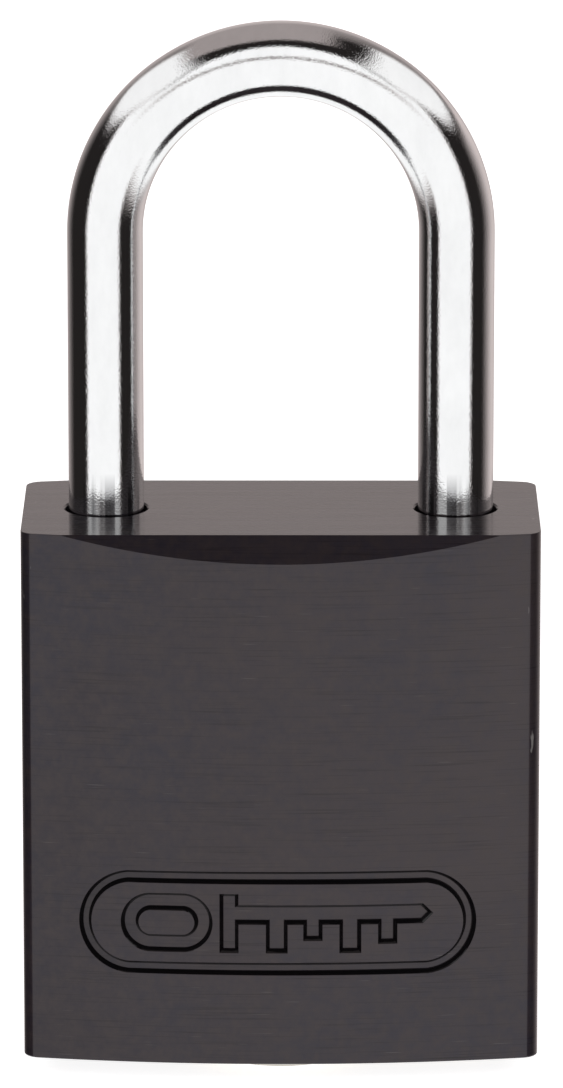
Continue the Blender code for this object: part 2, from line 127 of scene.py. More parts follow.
TOE_BORE_FLOOR = 30.4 * MM
HEEL_BORE_FLOOR = 14.5 * MM
BELOW_FOOT = -4 * MM
ABOVE_SHELL = 29 * MM
BARREL_RADIUS = 7.8 * MM
BARREL_TOP = 25 * MM
BARREL_EDGE = 0.15 * MM
BIBLE_HALF_WIDTH = 3 * MM
BIBLE_END = 16.2 * MM
BIBLE_HEAD_START = 8.2 * MM
POCKET_GAP = 0.1 * MM
PLUG_BORE_RADIUS = 6.35 * MM
COVER_SEAT_FLOOR = 15.2 * MM
PLUG_SHOULDER = 26.8 * MM
TAB_HALF_WIDTH = 1.3 * MM
TAB_HALF_LENGTH = 3.2 * MM
KEY_SLOT_DEPTH = 24.15 * MM
PIN_SPRING_WIRE = 0.13 * MM
PIN_SPRING_TURNS = 5
SHACKLE_SPRING_WIRE = 0.32 * MM
SHACKLE_SPRING_TURNS = 7.5
SCREW_THREADS = 10
WAISTED_PINS = (2, 5)
ALONG_X = (0, pi / 2, 0)
ALONG_Y = (-pi / 2, 0, 0)

PIN_COUNT = 6
FIRST_PIN_Z = 6.0 * MM
PIN_PITCH = 3.3 * MM
CHAMBER_RADIUS = 1.38 * MM
# The key slot's outline in millimetres, as it lies when the plug is home.
KEY_SLOT = (
    (-5.1, -1.15),
    (0.2, -1.15),
    (0.2, -0.45),
    (1.7, -0.45),
    (1.7, -1.15),
    (3.3, -1.15),
    (3.3, 1.15),
    (-1.4, 1.15),
    (-1.4, 0.45),
    (-3.0, 0.45),
    (-3.0, 1.15),
    (-5.1, 1.15),
)


# ------------------------------------------------------------- bench helpers


def deselect():
    """Object mode with nothing selected."""
    if bpy.context.object and bpy.context.object.mode != "OBJECT":
        bpy.ops.object.mode_set(mode="OBJECT")
    bpy.ops.object.select_all(action="DESELECT")


def take(piece):
    """Makes one piece the only one selected, and active."""
    deselect()
    piece.select_set(True)
    bpy.context.view_layer.objects.active = piece
    return piece


def added(name):
    """Names the primitive that was just added and puts its place in its mesh."""
    piece = bpy.context.object
    piece.name = name
    piece.data.name = name
    settle(piece)
    return piece


def settle(piece):
    """Puts a piece's place, turn and scale in its mesh."""
    take(piece)
    bpy.ops.object.transform_apply(location=True, rotation=True, scale=True)


def lay(piece, place, turn=(0, 0, 0)):
    """Turns a piece, moves it to its place and puts both in its mesh."""
    piece.rotation_euler = turn
    piece.location = place
    settle(piece)


def edit(piece, mode="FACE"):
    """Edit mode on one piece with nothing selected."""
    take(piece)
    bpy.ops.object.mode_set(mode="EDIT")
    bpy.ops.mesh.select_mode(type=mode)
    bpy.ops.mesh.select_all(action="DESELECT")


def done():
    """Back to object mode."""
    bpy.ops.object.mode_set(mode="OBJECT")


def centre_of(element):
    """The middle of a face or edge, or a vertex's own place."""
    if isinstance(element, bmesh.types.BMFace):
        return element.calc_center_median()
    if isinstance(element, bmesh.types.BMEdge):
        return (element.verts[0].co + element.verts[1].co) / 2
    return element.co


def pick(piece, kind, rule):
    """In edit mode, selects the faces, edges or verts that a rule of (place, element) accepts."""
    shape = bmesh.from_edit_mesh(piece.data)
    for element in getattr(shape, kind):
        element.select_set(bool(rule(centre_of(element), element)))
    shape.select_flush_mode()
    bmesh.update_edit_mesh(piece.data)


def outward(piece):
    """Points every face outwards."""
    edit(piece)
    bpy.ops.mesh.select_all(action="SELECT")
    bpy.ops.mesh.remove_doubles(threshold=1e-7)
    bpy.ops.mesh.normals_make_consistent(inside=False)
    done()


def apply(piece, kind, **settings):
    """Adds a modifier with these settings and applies it."""
    take(piece)
    step = piece.modifiers.new(kind.lower(), kind)
    for setting, value in settings.items():
        setattr(step, setting, value)
    bpy.ops.object.modifier_apply(modifier=step.name)


def combine(piece, tool, operation="DIFFERENCE"):
    """Cuts a piece with a tool or joins the two, and puts the tool away."""
    apply(piece, "BOOLEAN", operation=operation, solver="EXACT", object=tool)
    bpy.data.objects.remove(tool, do_unlink=True)


def drum(name, radius, bottom, top, x=0.0, facets=96):
    """An upright round tool."""
    deselect()
    bpy.ops.mesh.primitive_cylinder_add(
        vertices=facets, radius=radius, depth=top - bottom, location=(x, 0, (top + bottom) / 2)
    )
    return added(name)


def level_drum(name, radius, start, end, z, facets=48):
    """A round tool that lies along X."""
    deselect()
    bpy.ops.mesh.primitive_cylinder_add(
        vertices=facets,
        radius=radius,
        depth=end - start,
        location=((start + end) / 2, 0, z),
        rotation=(0, pi / 2, 0),
    )
    return added(name)


def brick(name, low, high):
    """A square tool between two corners."""
    low, high = Vector(low), Vector(high)
    deselect()
    bpy.ops.mesh.primitive_cube_add(size=1, location=(low + high) / 2)
    bpy.context.object.scale = high - low
    return added(name)


def drawn(name, points, closed=False):
    """A line through points, as a new piece in edit mode with everything selected."""
    edges = [(i, i + 1) for i in range(len(points) - 1)]
    if closed:
        edges.append((len(points) - 1, 0))
    mesh = bpy.data.meshes.new(name)
    mesh.from_pydata(points, edges, [])
    piece = bpy.data.objects.new(name, mesh)
    bpy.context.scene.collection.objects.link(piece)
    edit(piece, "VERT")
    bpy.ops.mesh.select_all(action="SELECT")
    return piece


def swept(piece, axis, angle, facets):
    """Turns what a piece holds about its own origin, and puts its place in its mesh."""
    full = abs(angle - 2 * pi) < 1e-6
    apply(
        piece,
        "SCREW",
        axis=axis,
        angle=angle,
        steps=facets,
        render_steps=facets,
        use_merge_vertices=full,
        merge_threshold=1e-6,
    )
    settle(piece)
    outward(piece)


def lathe(name, profile, facets=96, x=0.0):
    """Turns an outline of (radius, height) points about the upright axis through x."""
    piece = drawn(name, [(r, 0, z) for r, z in profile])
    done()
    piece.location.x = x
    swept(piece, "Z", 2 * pi, facets)
    return piece


def shade(piece):
    """Shades a piece smooth, apart from its sharp edges."""
    take(piece)
    bpy.ops.object.shade_smooth_by_angle(angle=radians(30))


def weigh(piece):
    """Lets the broad faces set the shading of the narrow ones."""
    apply(piece, "WEIGHTED_NORMAL", keep_sharp=True, weight=60)


def smooth(piece):
    shade(piece)
    weigh(piece)


# ---------------------------------------------------------------------- body


def arc(centre_x, centre_y, radius, start, end, steps):
    """Points along an arc, both ends included."""
    angles = [start + (end - start) * i / steps for i in range(steps + 1)]
    return [(centre_x + radius * cos(a), centre_y + radius * sin(a)) for a in angles]


def body_block():
    """A quarter of the bowed outline is drawn, mirrored twice, filled and raised."""
    corner_x = HALF_WIDTH - CORNER_RADIUS
    reach = BOW_RADIUS - CORNER_RADIUS
    corner_y = BOW_CENTRE - sqrt(reach**2 - corner_x**2)
    meet = asin(corner_x / reach) - pi / 2
    front = arc(0, BOW_CENTRE, BOW_RADIUS, -pi / 2, meet, 32)
    corner = arc(corner_x, corner_y, CORNER_RADIUS, meet, 0, 8)
    quarter = [*front, *corner[1:], (HALF_WIDTH, 0)]
    body = drawn("lock_body", [(x, y, BODY_FOOT) for x, y in quarter])
    done()
    apply(body, "MIRROR", use_axis=(True, True, False), merge_threshold=1e-6)
    edit(body, "VERT")
    bpy.ops.mesh.select_all(action="SELECT")
    bpy.ops.mesh.remove_doubles(threshold=1e-6)
    bpy.ops.mesh.edge_face_add()
    bpy.ops.mesh.extrude_region_move(
        TRANSFORM_OT_translate={"value": (0, 0, BODY_TOP - BODY_FOOT)}
    )
    done()
    outward(body)
    return body


def ease_edges(body):
    """Rounds the foot, breaks the sharp top rim, then slopes the top edge front and back."""
    tiny = 1e-6

    def foot_rim(place, edge):
        return place.z < BODY_FOOT + tiny and len(edge.link_faces) == 2

    def top_rim(place, edge):
        return all(v.co.z > BODY_TOP - tiny for v in edge.verts)

    edit(body, "EDGE")
    pick(body, "edges", foot_rim)
    bpy.ops.mesh.bevel(offset=FOOT_EDGE, segments=4, profile=0.5)
    bpy.ops.mesh.select_all(action="DESELECT")
    pick(body, "edges", top_rim)
    bpy.ops.mesh.bevel(offset=TOP_EDGE, segments=2, profile=0.5)
    done()
    for side in (-1, 1):
        combine(body, slope_tool(side))


def slope_tool(side):
    """A long wedge that takes the top edge off the front or the back."""
    run = HALF_DEPTH - TOP_FLAT_HALF_DEPTH
    beyond = 2
    corners = (
        (TOP_FLAT_HALF_DEPTH - run * beyond, BODY_TOP + TOP_CHAMFER_DROP * beyond),
        (HALF_DEPTH + run * beyond, BODY_TOP - TOP_CHAMFER_DROP * (1 + beyond)),
        (HALF_DEPTH + run * beyond, BODY_TOP + TOP_CHAMFER_DROP * beyond),
    )
    reach = HALF_WIDTH + MM
    wedge = drawn("slope_tool", [(-reach, side * y, z) for y, z in corners], closed=True)
    bpy.ops.mesh.edge_face_add()
    bpy.ops.mesh.extrude_region_move(TRANSFORM_OT_translate={"value": (2 * reach, 0, 0)})
    done()
    outward(wedge)
    return wedge


def sink(width, depth):
    """Insets the selected faces and lowers them into the body."""
    bpy.ops.mesh.inset(thickness=width, depth=depth, use_even_offset=True)


def relief_walls(tool):
    """Raises a flat shape's faces into a sunk relief: lip, sloped wall and flat floor."""
    edit(tool)
    bpy.ops.mesh.select_all(action="SELECT")
    if tool.data.polygons[0].normal.y < 0:
        bpy.ops.mesh.flip_normals()
    bpy.ops.mesh.extrude_region_move(TRANSFORM_OT_translate={"value": (0, TOOL_STANDOFF, 0)})
    sink(RELIEF_LIP, RELIEF_LIP)
    sink(RELIEF_DRAFT, RELIEF_DEPTH - RELIEF_LIP)
    done()
    outward(tool)


def flat_slot(name, half_length, half_height, at=(0, 0, 0), facets=64):
    """A flat shape with round ends, facing the body from just in front of it."""
    deselect()
    bpy.ops.mesh.primitive_circle_add(
        vertices=facets,
        radius=half_height,
        fill_type="NGON",
        location=(at[0], -TOOL_STANDOFF, at[2]),
        rotation=(-pi / 2, 0, 0),
    )
    slot = added(name)
    stretch = half_length - half_height
    for side in (-1, 1):
        edit(slot, "VERT")
        pick(slot, "verts", lambda place, _: side * (place.x - at[0]) > 1e-6)
        bpy.ops.transform.translate(value=(side * stretch, 0, 0))
        done()
    return slot


def slot_ring(name, half_length, half_height, width, x=0.0):
    """The cutter of a ring with round ends, still flat."""
    ring = flat_slot(name, half_length, half_height, at=(x, 0, 0))
    edit(ring)
    bpy.ops.mesh.select_all(action="SELECT")
    bpy.ops.mesh.inset(thickness=width, depth=0, use_even_offset=True)
    bpy.ops.mesh.delete(type="FACE")
    done()
    relief_walls(ring)
    return ring


def key_blade(name):
    """The cutter of a key's collar, shaft and bits, still flat."""
    low, high = KEY_SHAFT
    reach = KEY_HALF_HEIGHT
    collar_start, collar_end = KEY_COLLAR
    outline = [
        (collar_start, reach),
        (collar_start, -reach),
        (collar_end, -reach),
        (collar_end, low),
    ]
    for start, length, drop in KEY_BITS:
        end = start + length
        outline += [(start, low), (start, low - drop), (end, low - drop), (end, low)]
    tip = high - low
    outline += [(KEY_END - tip / 2, low), (KEY_END, (low + high) / 2), (KEY_END - tip / 2, high)]
    outline += [(collar_end, high), (collar_end, reach)]
    blade = drawn(name, [(x, -TOOL_STANDOFF, z) for x, z in outline], closed=True)
    bpy.ops.mesh.edge_face_add()
    done()
    relief_walls(blade)
    return blade


def bend_to_bow(tool):
    """Bends a flat tool round the bowed front and sets it in its place."""
    start, end = tool.bound_box[0][0], tool.bound_box[6][0]
    steps = int((end - start) / MM)
    edit(tool)
    for i in range(1, steps):
        bpy.ops.mesh.select_all(action="SELECT")
        across = start + (end - start) * i / steps
        bpy.ops.mesh.bisect(plane_co=(across, 0, 0), plane_no=(1, 0, 0), threshold=1e-6)
    done()
    apply(
        tool,
        "SIMPLE_DEFORM",
        deform_method="BEND",
        deform_axis="Z",
        angle=(end - start) / BOW_RADIUS,
    )
    lay(tool, RING_CENTRE)


def bore_tool(name, x, floor):
    """A leg bore with a fine lip at its mouth."""
    above = BODY_TOP + 2 * MM
    lip_radius = LEG_BORE_RADIUS + BORE_LIP
    profile = [
        (0, above),
        (lip_radius + (above - BODY_TOP), above),
        (lip_radius, BODY_TOP),
        (LEG_BORE_RADIUS, BODY_TOP - BORE_LIP),
        (LEG_BORE_RADIUS, floor),
        (0, floor),
    ]
    return lathe(name, profile, 128, x)


def lock_body():
    """The anodised block, sunk relief on its front and bores for everything inside."""
    body = body_block()
    ease_edges(body)
    relief = [
        slot_ring("ring_tool", RING_HALF_LENGTH, RING_HALF_HEIGHT, RING_WIDTH),
        slot_ring("key_bow_tool", KEY_BOW_LENGTH / 2, KEY_HALF_HEIGHT, KEY_BOW_RIM, KEY_BOW_X),
        key_blade("key_blade_tool"),
    ]
    for tool in relief:
        bend_to_bow(tool)
        combine(body, tool)
    half = BIBLE_HALF_WIDTH + POCKET_GAP
    low, high = (0, -half, BELOW_FOOT), (BIBLE_END + POCKET_GAP, half, SHELL_TOP + POCKET_GAP)
    barrel = (BARREL_RADIUS + POCKET_GAP, BELOW_FOOT, BARREL_TOP + POCKET_GAP)
    combine(body, bore_tool("toe_bore", LEG_X, TOE_BORE_FLOOR))
    combine(body, bore_tool("heel_bore", -LEG_X, HEEL_BORE_FLOOR))
    combine(body, drum("barrel_pocket", *barrel))
    combine(body, brick("bible_pocket", low, high))
    combine(body, drum("clip_chamber", 7.2 * MM, 6 * MM, 27.4 * MM))
    combine(body, drum("cam_chamber", 6.6 * MM, 6 * MM, 41.5 * MM))
    combine(body, level_drum("ball_channel", BALL_CHANNEL_RADIUS, -LEG_X, LEG_X, BALL_LEVEL))
    combine(body, drum("screw_hole", 1.6 * MM, 24 * MM, 31.4 * MM, LEG_X, 32))
    shade(body)

    def top_slope(_, face):
        return 0.3 < abs(face.normal.z) < 0.8 and face.calc_area() > 10 * MM**2

    edit(body)
    pick(body, "faces", top_slope)
    bpy.ops.mesh.mark_sharp()
    done()
    weigh(body)
    return body


# ------------------------------------------------------------------- shackle


def bent_bar():
    """A round bar: a circle swept over the crown and run down into both bores."""
    deselect()
    bpy.ops.mesh.primitive_circle_add(vertices=96, radius=BAR_RADIUS, location=(LEG_X, 0, 0))
    bar = added("shackle_bar")
    bar.location.z = ARCH_Z
    swept(bar, "Y", -pi, 96)
    for side, end in ((1, TOE_END), (-1, HEEL_END)):
        edit(bar, "VERT")
        pick(bar, "verts", lambda place, _: abs(place.z - ARCH_Z) < 1e-6 and side * place.x > 0)
        steps = 12
        for _ in range(steps):
            bpy.ops.mesh.extrude_region_move(
                TRANSFORM_OT_translate={"value": (0, 0, (end - ARCH_Z) / steps)}
            )
        bpy.ops.mesh.edge_face_add()
        bpy.ops.mesh.select_mode(type="EDGE")
        bpy.ops.mesh.bevel(offset=LEG_END_BEVEL, segments=3, clamp_overlap=False)
        done()
    outward(bar)
    return bar


def shackle():
    """The bar with a notch in each leg for its ball, and a turned neck on the heel leg."""
    bar = bent_bar()
    for side in (1, -1):
        deselect()
        bpy.ops.mesh.primitive_uv_sphere_add(
            segments=64,
            ring_count=32,
            radius=BALL_NOTCH_RADIUS,
            location=(side * BALL_LOCKED_X, 0, BALL_LEVEL),
        )
        combine(bar, added("notch_tool"))
    outside = LEG_BORE_RADIUS + MM
    half_ramp = (outside - NECK_RADIUS) / 2
    neck = [
        (outside, NECK_TOP + half_ramp),
        (outside, NECK_BOTTOM - half_ramp),
        (NECK_RADIUS, NECK_BOTTOM),
        (NECK_RADIUS, NECK_TOP),
        (outside, NECK_TOP + half_ramp),
    ]
    combine(bar, lathe("neck_tool", neck, 96, -LEG_X))
    shade(bar)
    return bar


# ----------------------------------------------------------------- lock works


def pin_heights():
    """The six pins' levels, from the foot up."""
    return [FIRST_PIN_Z + PIN_PITCH * i for i in range(PIN_COUNT)]


def plug():
    """The turning core, shown with the key slot fore and aft: ringed nose, slot, chambers and tab."""
    end = PLUG_SHOULDER
    profile = [
        (0, 0),
        (5.15 * MM, 0),
        (5.2 * MM, 0.08 * MM),
        (5.4 * MM, 0.08 * MM),
        (5.45 * MM, 0),
        (5.85 * MM, 0),
        (6.15 * MM, 0.12 * MM),
        (6.3 * MM, 0.45 * MM),
        (6.3 * MM, 1.55 * MM),
        (6.9 * MM, 1.55 * MM),
        (6.9 * MM, 2.65 * MM),
        (6.85 * MM, 2.7 * MM),
        (6.25 * MM, 2.7 * MM),
        (6.25 * MM, 25.1 * MM),
        (6.2 * MM, 25.15 * MM),
        (5.45 * MM, 25.15 * MM),
        (5.45 * MM, 26.15 * MM),
        (5.8 * MM, 26.15 * MM),
        (5.8 * MM, end - 0.15 * MM),
        (5.65 * MM, end),
        (0, end),
    ]
    core = lathe("plug_core", profile, 128)
    low = (-TAB_HALF_WIDTH, -TAB_HALF_LENGTH, end - MM)
    tab = brick("tab", low, (TAB_HALF_WIDTH, TAB_HALF_LENGTH, PLUG_TOP))
    edit(tab, "EDGE")
    pick(tab, "edges", lambda place, _: place.z > PLUG_TOP - 0.01 * MM)
    bpy.ops.mesh.bevel(offset=0.3 * MM, segments=3)
    done()
    combine(core, tab, "UNION")
    under = 2 * MM
    slot = drawn("key_slot", [(-y * MM, x * MM, -under) for x, y in KEY_SLOT], closed=True)
    bpy.ops.mesh.edge_face_add()
    bpy.ops.mesh.extrude_region_move(
        TRANSFORM_OT_translate={"value": (0, 0, KEY_SLOT_DEPTH + under)}
    )
    done()
    outward(slot)
    combine(core, slot)
    for height in pin_heights():
        chamber = level_drum("chamber", CHAMBER_RADIUS, 0.6 * MM, 7.3 * MM, 0)
        lay(chamber, (0, 0, height), (0, 0, pi / 2))
        combine(core, chamber)
    smooth(core)
    return core


def cylinder_shell():
    """The fixed brass shell that the plug turns in, with its row of spring chambers."""
    profile = [
        (0, BODY_FOOT),
        (BARREL_RADIUS - BARREL_EDGE, BODY_FOOT),
        (BARREL_RADIUS, BODY_FOOT + BARREL_EDGE),
        (BARREL_RADIUS, BARREL_TOP),
        (0, BARREL_TOP),
    ]
    shell = lathe("shell", profile, 128)
    half = BIBLE_HALF_WIDTH
    near = 0.1 * MM

    def outer_edge(place, _):
        return place.x > BIBLE_END - near or place.z > SHELL_TOP - near

    for name, start, foot, top in (
        ("bible", 4 * MM, BODY_FOOT, BARREL_TOP),
        ("bible_head", BIBLE_HEAD_START, BARREL_TOP - MM, SHELL_TOP),
    ):
        block = brick(name, (start, -half, foot), (BIBLE_END, half, top))
        edit(block, "EDGE")
        pick(block, "edges", outer_edge)
        bpy.ops.mesh.bevel(offset=0.12 * MM, segments=2)
        done()
        combine(shell, block, "UNION")
    for height in pin_heights():
        combine(shell, level_drum("chamber", CHAMBER_RADIUS, 5.25 * MM, 16.1 * MM, height))
    low, high = (COVER_SEAT_FLOOR, -2.1 * MM, 3.3 * MM), (17.2 * MM, 2.1 * MM, 24.5 * MM)
    combine(shell, drum("plug_bore", PLUG_BORE_RADIUS, BELOW_FOOT, ABOVE_SHELL, facets=128))
    combine(shell, drum("flange_seat", 7.0 * MM, BELOW_FOOT, 2.85 * MM, facets=128))
    combine(shell, brick("cover_seat", low, high))
    combine(shell, drum("thread_hole", 1.5 * MM, 24.9 * MM, ABOVE_SHELL, LEG_X, 48))
    smooth(shell)
    return shell


def chamber_cover():
    """The strip that closes the spring chambers, eased all round and staked over each one."""
    cover = brick("cover", *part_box("chamber_cover"))
    edit(cover, "EDGE")
    bpy.ops.mesh.select_all(action="SELECT")
    bpy.ops.mesh.bevel(offset=0.1 * MM, segments=2)
    done()
    for height in pin_heights():
        combine(cover, level_drum("stake", 0.45 * MM, 15.95 * MM, 17 * MM, height, 24))
    smooth(cover)
    return cover


def cylinder_screw():
    """A socket screw: eased head, hexagon socket and a ringed shank."""
    low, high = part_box("cylinder_screw")
    head = high.z - 1.9 * MM
    root, crest = 1.22 * MM, 1.45 * MM
    shank = [(0, low.z), (root, low.z)]
    pitch = (head - low.z) / (SCREW_THREADS + 1)
    for i in range(SCREW_THREADS):
        start = low.z + pitch * (i + 0.3)
        ridge = ((root, 0), (crest, 0.4), (crest, 0.5), (root, 0.9))
        shank += [(radius, start + pitch * share) for radius, share in ridge]
    profile = [
        *shank,
        (root, head),
        (2.6 * MM, head),
        (2.7 * MM, head + 0.1 * MM),
        (2.7 * MM, high.z - 0.3 * MM),
        (2.6 * MM, high.z - 0.1 * MM),
        (2.4 * MM, high.z),
        (0, high.z),
    ]
    screw = lathe("screw", profile, 48)
    combine(screw, drum("socket", 1.3 * MM, high.z - 1.2 * MM, high.z + MM, facets=6))
    lay(screw, (LEG_X, 0, 0))
    smooth(screw)
    return screw


def hardened_ball(node):
    """A ground ball, turned from a half circle."""
    low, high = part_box(node)
    radius = (high.z - low.z) / 2
    steps = 36
    profile = [(radius * sin(pi * i / steps), -radius * cos(pi * i / steps)) for i in range(steps + 1)]
    profile[0] = (0, -radius)
    profile[-1] = (0, radius)
    ball = lathe("turned_" + node, profile, 72)
    lay(ball, (low + high) / 2)
    take(ball)
    bpy.ops.object.shade_smooth()
    return ball


def key_pin(number):
    """A brass pin with a rounded tip towards the key."""
    low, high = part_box(f"key_pin_{number}")
    radius = (high.z - low.z) / 2
    length = high.y - low.y
    outline = [
        (0, 0),
        (0.22 * MM, 0.02 * MM),
        (0.4 * MM, 0.12 * MM),
        (radius - 0.1 * MM, 0.9 * MM),
        (radius, 1.12 * MM),
        (radius, length - 0.3 * MM),
        (radius - 0.07 * MM, length - 0.14 * MM),
        (radius - 0.25 * MM, length - 0.02 * MM),
        (radius - 0.4 * MM, length),
        (0, length),
    ]
    pin = lathe(f"turned_key_pin_{number}", outline, 40)
    lay(pin, (0, low.y, (low.z + high.z) / 2), ALONG_Y)
    smooth(pin)
    return pin


def driver_pin(number):
    """A driver pin. Two of the six have a deep waist, as in a pick-resistant stack."""
    low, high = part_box(f"driver_pin_{number}")
    radius = (high.z - low.z) / 2
    length = high.x - low.x
    waist = radius - (0.3 * MM if number in WAISTED_PINS else 0.04 * MM)
    outline = [
        (0, 0),
        (radius - 0.3 * MM, 0),
        (radius - 0.08 * MM, 0.08 * MM),
        (radius, 0.25 * MM),
        (radius, 0.9 * MM),
        (waist, 1.15 * MM),
        (waist, length - 1.15 * MM),
        (radius, length - 0.9 * MM),
        (radius, length - 0.25 * MM),
        (radius - 0.08 * MM, length - 0.08 * MM),
        (radius - 0.3 * MM, length),
        (0, length),
    ]
    pin = lathe(f"turned_driver_pin_{number}", outline, 40)
    lay(pin, (low.x, 0, (low.z + high.z) / 2), ALONG_X)
    smooth(pin)
    return pin


def coil_spring(name, radius, wire, length, turns, per_turn=24):
    """A compression spring along +Z from the origin, its end turns closed up."""
    closed = 0.9
    count = int(turns * per_turn)
    rise_closed = 2.05 * wire * closed
    open_rise = length - 2 * wire - 2 * rise_closed
    points = []
    for i in range(count + 1):
        turn = i / per_turn
        at_foot = min(turn, closed) / closed
        at_head = max(turn - (turns - closed), 0) / closed
        middle = min(max((turn - closed) / (turns - 2 * closed), 0), 1)
        height = wire + rise_closed * (at_foot + at_head) + open_rise * middle
        points.append((radius * cos(2 * pi * turn), radius * sin(2 * pi * turn), height))
    path = bpy.data.curves.new(name, "CURVE")
    path.dimensions = "3D"
    path.bevel_depth = wire
    path.bevel_resolution = 3
    path.use_fill_caps = True
    line = path.splines.new("POLY")
    line.points.add(len(points) - 1)
    for point, place in zip(line.points, points):
        point.co = (*place, 1)
    spring = bpy.data.objects.new(name, path)
    bpy.context.scene.collection.objects.link(spring)
    take(spring)
    bpy.ops.object.convert(target="MESH")
    spring = bpy.context.object
    outward(spring)
    take(spring)
    bpy.ops.object.shade_smooth()
    return spring


def pin_spring(number):
    """The fine spring behind a driver pin, lying along X."""
    low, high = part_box(f"pin_spring_{number}")
    wire = PIN_SPRING_WIRE
    radius = (high.y - low.y) / 2 - wire
    name = f"wound_pin_spring_{number}"
    spring = coil_spring(name, radius, wire, high.x - low.x, PIN_SPRING_TURNS)
    lay(spring, (low.x, 0, (low.z + high.z) / 2), ALONG_X)
    return spring


def shackle_spring():
    """The stout spring that stands under the heel leg."""
    low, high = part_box("shackle_spring")
    wire = SHACKLE_SPRING_WIRE
    radius = (high.x - low.x) / 2 - wire
    spring = coil_spring("wound_shackle_spring", radius, wire, high.z - low.z, SHACKLE_SPRING_TURNS, 32)
    lay(spring, (-LEG_X, 0, low.z))
    return spring


# ----------------------------------------------------------------- materials


class Finish:
    """A material's node tree, with short ways to add and join nodes."""

    def __init__(self, name):
        self.material = bpy.data.materials.new(name)
        self.material.use_nodes = True
        self.tree = self.material.node_tree
        self.shader = self.tree.nodes["Principled BSDF"]
        self.place = self.node("ShaderNodeTexCoord").outputs["Object"]

    def node(self, kind, **settings):
        made = self.tree.nodes.new(kind)
        for setting, value in settings.items():
            setattr(made, setting, value)
        return made

    def join(self, source, target):
        self.tree.links.new(source, target)

    def feed(self, socket, value):
        """Joins a node's output to a socket, or sets a plain value."""
        if isinstance(value, bpy.types.NodeSocket):
            self.join(value, socket)
        else:
            socket.default_value = value

    def stretched(self, scale, source=None):
        """A place, scaled by a different amount each way."""
        mapping = self.node("ShaderNodeMapping")
        mapping.inputs["Scale"].default_value = scale
        self.join(source or self.place, mapping.inputs["Vector"])
        return mapping.outputs["Vector"]

    def noise(self, scale, detail=2.0, roughness=0.5, source=None):
        """Noise from 0 to 1 with its own scale each way."""
        made = self.node("ShaderNodeTexNoise")
        made.inputs["Scale"].default_value = 1.0
        made.inputs["Detail"].default_value = detail
        made.inputs["Roughness"].default_value = roughness
        self.join(self.stretched(scale, source), made.inputs["Vector"])
        return made.outputs["Fac"]

    def span(self, value, low, high, to_low=0.0, to_high=1.0):
        """Maps a value's range to another, held at both ends."""
        made = self.node("ShaderNodeMapRange")
        self.feed(made.inputs["Value"], value)
        ends = {"From Min": low, "From Max": high, "To Min": to_low, "To Max": to_high}
        for socket, number in ends.items():
            made.inputs[socket].default_value = number
        return made.outputs["Result"]

    def maths(self, operation, one, other=0.0):
        """A sum on one or two numbers."""
        made = self.node("ShaderNodeMath", operation=operation)
        self.feed(made.inputs[0], one)
        self.feed(made.inputs[1], other)
        return made.outputs["Value"]

    def product(self, *values):
        """All the numbers multiplied together."""
        result = values[0]
        for value in values[1:]:
            result = self.maths("MULTIPLY", result, value)
        return result

    def blend(self, amount, one, other):
        """Mixes two colours."""
        made = self.node("ShaderNodeMix", data_type="RGBA")
        self.feed(made.inputs["Factor"], amount)
        self.feed(made.inputs["A"], one)
        self.feed(made.inputs["B"], other)
        return made.outputs["Result"]

    def mix(self, amount, one, other):
        """Mixes two numbers."""
        made = self.node("ShaderNodeMix", data_type="FLOAT")
        self.feed(made.inputs["Factor"], amount)
        self.feed(made.inputs["A"], one)
        self.feed(made.inputs["B"], other)
        return made.outputs["Result"]

    def bump(self, height, distance, strength=1.0, under=None):
        made = self.node("ShaderNodeBump")
        made.inputs["Strength"].default_value = strength
        made.inputs["Distance"].default_value = distance
        self.join(height, made.inputs["Height"])
        if under is not None:
            self.join(under, made.inputs["Normal"])
        return made.outputs["Normal"]

    def set(self, **values):
        """Sets or joins the shader's sockets, named with underscores."""
        for name, value in values.items():
            self.feed(self.shader.inputs[name.replace("_", " ")], value)


def relief_wall_shade_mask(finish, spot):
    """1 on the walls of the sunk relief, where shade is painted in dark, 0 on its floor and on the
    bowed front.
    """
    x, y, z = spot.outputs
    from_axis = finish.maths("SUBTRACT", y, BOW_CENTRE)
    square = finish.maths("ADD", finish.maths("POWER", x, 2.0), finish.maths("POWER", from_axis, 2.0))
    depth = finish.maths("SUBTRACT", BOW_RADIUS, finish.maths("SQRT", square))
    top = finish.span(depth, 0.01 * MM, 0.04 * MM)
    foot = finish.span(depth, RELIEF_DEPTH - 0.02 * MM, RELIEF_DEPTH - 0.07 * MM)
    aside = finish.maths("ABSOLUTE", finish.maths("SUBTRACT", x, RING_CENTRE.x))
    above = finish.maths("ABSOLUTE", finish.maths("SUBTRACT", z, RING_CENTRE.z))
    across = finish.span(aside, 16 * MM, 15.9 * MM)
    upright = finish.span(above, 4.6 * MM, 4.5 * MM)
    return finish.product(finish.product(top, foot), finish.product(across, upright))


